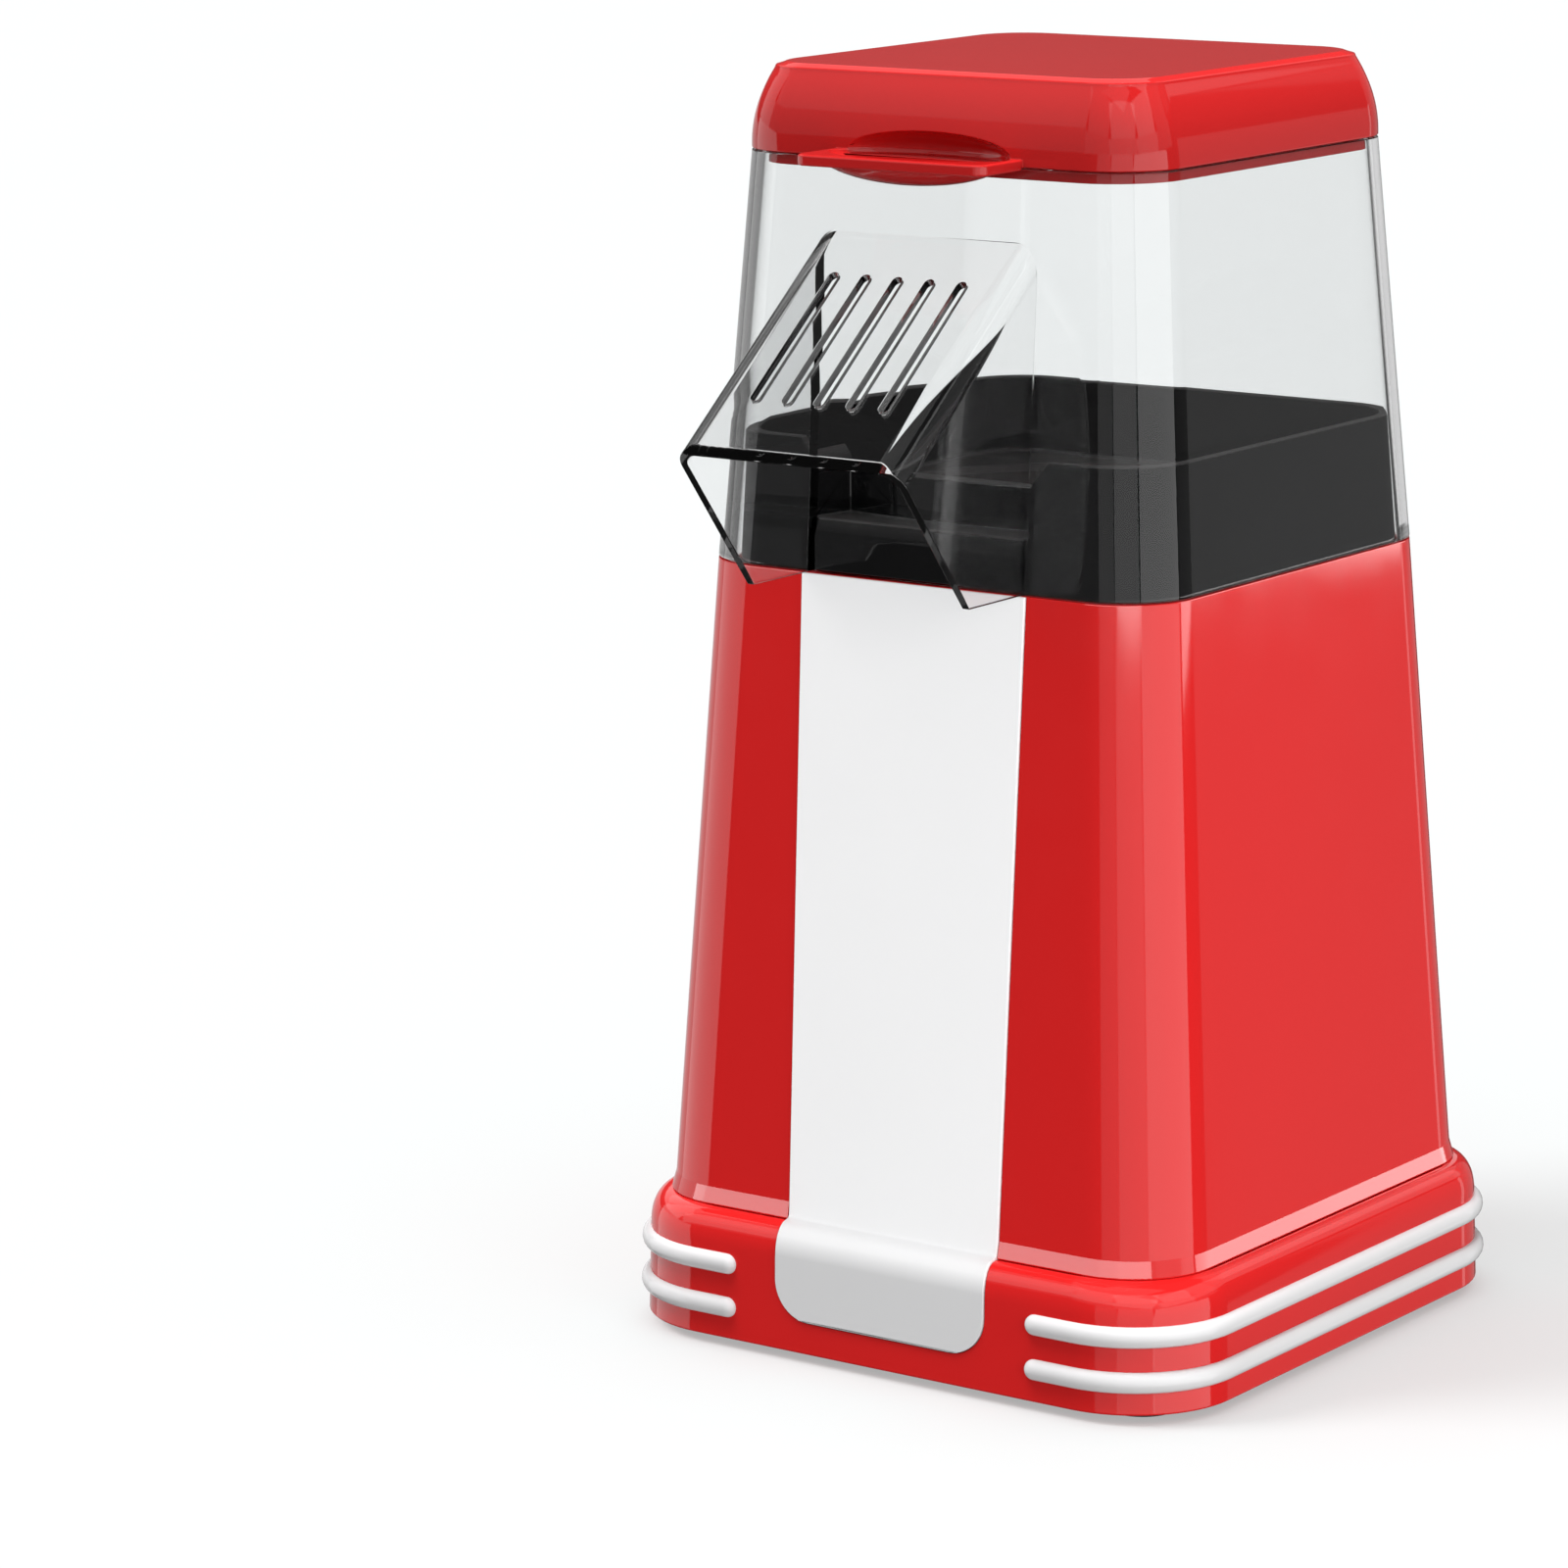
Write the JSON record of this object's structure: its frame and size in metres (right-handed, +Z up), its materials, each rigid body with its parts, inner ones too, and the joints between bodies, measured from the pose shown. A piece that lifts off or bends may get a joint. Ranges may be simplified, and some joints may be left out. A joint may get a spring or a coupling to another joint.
{
  "type": "popcorn maker",
  "caption": "Hot-air popcorn maker: tapered red tower on a ribbed plinth, black collar, clear lift-off cover with a pouring spout, red cup lid.",
  "frame": {"origin": "on the surface it stands on, under the middle of the whole machine, spout included", "axes": "+Z up, the spout points to -Y, +X is to the right when the machine is seen from the front"},
  "size_m": [0.162, 0.1935, 0.3],
  "materials": {
    "red_plastic": "high-gloss moulded ABS",
    "lid_plastic": "high-gloss moulded polypropylene",
    "white_plastic": "smooth satin-gloss ABS",
    "white_trim": "glossy moulded ribs",
    "black_plastic": "fine-textured polypropylene",
    "collar_plastic": "glossy heat-resistant polyamide",
    "clear_plastic": "clear polished polycarbonate",
    "chamber_aluminium": "spun aluminium",
    "sheet_steel": "zinc-plated sheet",
    "heat_resin": "dark phenolic moulding",
    "mica": "mica laminate",
    "heating_wire": "oxidised resistance wire",
    "natural_nylon": "natural nylon",
    "ground_steel": "ground steel and laminations",
    "motor_steel": "nickel-plated can",
    "circuit_board": "solder-masked laminate",
    "thermostat_steel": "plated steel",
    "rocker_plastic": "smooth nylon",
    "gland_rubber": "soft black rubber",
    "foot_rubber": "matt black rubber",
    "screw_steel": "zinc-plated screws",
    "diode_epoxy": "moulded epoxy"
  },
  "bodies": {
    "root": {"base_plinth": "red_plastic", "tower_housing": "red_plastic", "front_strip": "white_plastic", "trim_upper_left": "white_trim", "trim_upper_right": "white_trim", "trim_lower_left": "white_trim", "trim_lower_right": "white_trim", "base_plate": "black_plastic", "popping_collar": "collar_plastic", "popping_chamber": "chamber_aluminium", "heater_sleeve": "sheet_steel", "fan_housing": "heat_resin", "mica_plate_long": "mica", "mica_plate_cross": "mica", "heater_coil": "heating_wire", "motor_can": "motor_steel", "motor_end_cap": "natural_nylon", "motor_bracket": "sheet_steel", "rectifier_board": "circuit_board", "thermostat": "thermostat_steel", "thermal_fuse": "thermostat_steel", "terminal_block": "natural_nylon", "switch_body": "black_plastic", "cord_gland": "gland_rubber", "foot_1": "foot_rubber", "base_screw_1": "screw_steel", "collar_screw_1": "screw_steel", "diode_1": "diode_epoxy", "foot_2": "foot_rubber", "base_screw_2": "screw_steel", "collar_screw_2": "screw_steel", "diode_2": "diode_epoxy", "foot_3": "foot_rubber", "base_screw_3": "screw_steel", "collar_screw_3": "screw_steel", "diode_3": "diode_epoxy", "foot_4": "foot_rubber", "base_screw_4": "screw_steel", "collar_screw_4": "screw_steel", "diode_4": "diode_epoxy", "sleeve_screw_1": "screw_steel", "duct_screw_1": "screw_steel", "sleeve_screw_2": "screw_steel", "duct_screw_2": "screw_steel", "sleeve_screw_3": "screw_steel", "duct_screw_3": "screw_steel", "motor_screw_1": "screw_steel", "bracket_screw_1": "screw_steel", "motor_screw_2": "screw_steel", "bracket_screw_2": "screw_steel"},
    "cover": {"clear_cover": "clear_plastic"},
    "lid": {"lid": "lid_plastic"},
    "fan": {"fan_impeller": "natural_nylon", "motor_shaft": "ground_steel"},
    "rocker": {"switch_rocker": "rocker_plastic"}
  },
  "joints": [
    {"name": "cover_lift", "type": "slide", "parent": "root", "child": "cover", "axis": [0, 0, 1], "range_m": [0, 0.05]},
    {"name": "lid_lift", "type": "slide", "parent": "cover", "child": "lid", "axis": [0, 0, 1], "range_m": [0, 0.04]},
    {"name": "fan_spin", "type": "hinge", "parent": "root", "child": "fan", "pos_m": [0, 0.01569, 0.06], "axis": [0, 0, 1], "continuous": true},
    {"name": "power_switch", "type": "hinge", "parent": "root", "child": "rocker", "pos_m": [0, 0.08583, 0.04989], "axis": [1, 0, 0], "range_deg": [0, 16]}
  ]
}
